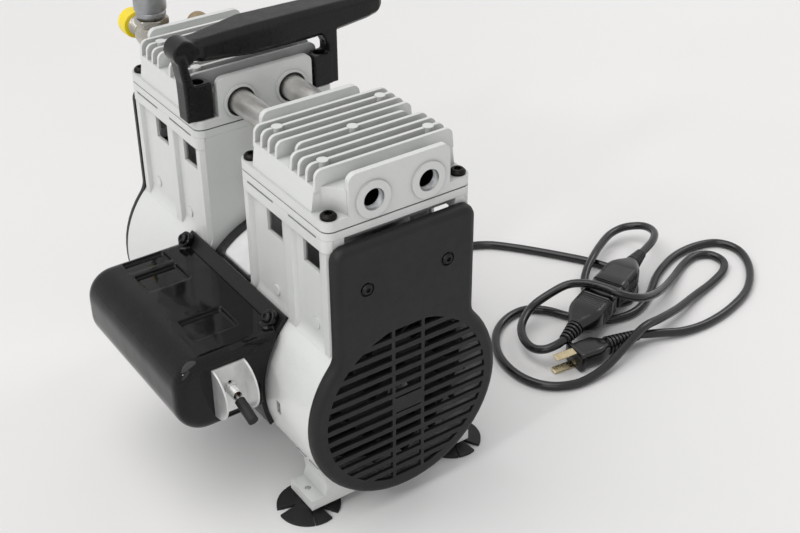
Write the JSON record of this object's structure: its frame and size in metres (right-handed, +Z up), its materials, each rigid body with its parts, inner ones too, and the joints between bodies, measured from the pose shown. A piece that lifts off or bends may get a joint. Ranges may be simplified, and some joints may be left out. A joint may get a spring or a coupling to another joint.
{
  "type": "piston vacuum pump",
  "caption": "Motor-driven oil-free piston vacuum pump with finned heads at both ends, slatted fan guards, a side switch box, a carrying handle and a mains lead.",
  "frame": {"origin": "on the bench, under the middle of the pump's box without the free lead", "axes": "+X across the pump to the right as seen from the front guard, +Y along the motor shaft to the rear, +Z up"},
  "size_m": [0.5192, 0.3176, 0.2766],
  "materials": {
    "cast_enamel": "satin",
    "plate_metal": "satin",
    "guard_black": "satin",
    "screw_dark": "satin",
    "screw_black": "satin",
    "gasket": "matte",
    "spring_steel": "brushed",
    "tube_metal": "satin",
    "black_rubber": "matte",
    "motor_black": "gloss",
    "label_white": "matte",
    "core_steel": "matte",
    "winding": "satin",
    "bearing_steel": "gloss",
    "shaft_steel": "satin",
    "fan_black": "matte",
    "rod_metal": "satin",
    "cup_seal": "matte",
    "handle_black": "matte",
    "box_black": "gloss",
    "saddle_black": "satin",
    "can_metal": "satin",
    "switch_brown": "satin",
    "zinc": "satin",
    "brass_nickel": "satin",
    "silencer_grey": "satin",
    "silencer_bronze": "matte",
    "cap_yellow": "satin",
    "cord_black": "satin",
    "blade_brass": "gloss"
  },
  "bodies": {
    "pump": {"front_housing": "cast_enamel", "rear_housing": "cast_enamel", "front_guard": "guard_black", "rear_guard": "guard_black", "guard_screws": "screw_black", "front_head": "cast_enamel", "rear_head": "cast_enamel", "head_screws": "screw_dark", "head_gaskets": "gasket", "front_valve_plate": "cast_enamel", "rear_valve_plate": "cast_enamel", "reed_valves": "spring_steel", "front_cylinder": "plate_metal", "rear_cylinder": "plate_metal", "transfer_tubes": "tube_metal", "tube_o_rings": "black_rubber", "motor_shell": "motor_black", "motor_label": "label_white", "stator_core": "core_steel", "stator_windings": "winding", "main_bearings": "bearing_steel", "handle": "handle_black", "suction_feet": "black_rubber", "foot_screws": "spring_steel", "box_saddle": "saddle_black", "box_cover": "box_black", "box_screws": "screw_black", "capacitor": "can_metal", "switch_body": "switch_brown", "switch_guard": "zinc", "switch_nut": "zinc", "tee_fitting": "brass_nickel", "upright_silencer": "silencer_grey", "rear_silencer": "silencer_bronze", "strain_relief": "cord_black", "captive_cord": "cord_black", "captive_connector": "cord_black", "power_connector": "cord_black", "power_cord": "cord_black", "plug": "cord_black", "plug_blades": "blade_brass"},
    "shaft": {"shaft": "shaft_steel", "rotor": "core_steel", "front_fan": "fan_black", "rear_fan": "fan_black", "front_eccentric": "shaft_steel", "rear_eccentric": "shaft_steel"},
    "front_piston": {"front_rod": "rod_metal", "front_rod_bearing": "bearing_steel", "front_cup_seal": "cup_seal", "front_retainer": "shaft_steel"},
    "rear_piston": {"rear_rod": "rod_metal", "rear_rod_bearing": "bearing_steel", "rear_cup_seal": "cup_seal", "rear_retainer": "shaft_steel"},
    "toggle": {"toggle_lever": "zinc", "lever_sleeve": "black_rubber"},
    "cap": {"branch_cap": "cap_yellow"}
  },
  "joints": [
    {"name": "shaft_spin", "type": "hinge", "parent": "pump", "child": "shaft", "pos_m": [0.0174, -0.0283, 0.0787], "axis": [0, 1, 0], "continuous": true},
    {"name": "front_crank_pin", "type": "hinge", "parent": "shaft", "child": "front_piston", "pos_m": [0.0174, -0.1028, 0.0842], "axis": [0, 1, 0], "continuous": true},
    {"name": "rear_crank_pin", "type": "hinge", "parent": "shaft", "child": "rear_piston", "pos_m": [0.0174, 0.0462, 0.0732], "axis": [0, 1, 0], "continuous": true},
    {"name": "toggle_tilt", "type": "hinge", "parent": "pump", "child": "toggle", "pos_m": [-0.0756, -0.1103, 0.097], "axis": [-1, 0, 0], "range_deg": [0, 36]},
    {"name": "cap_pull", "type": "slide", "parent": "pump", "child": "cap", "axis": [0, 1, 0], "range_m": [0, 0.015]}
  ],
  "couplings": [
    {"joint": "front_crank_pin", "follows": "shaft_spin", "ratio": -1},
    {"joint": "rear_crank_pin", "follows": "shaft_spin", "ratio": -1}
  ]
}
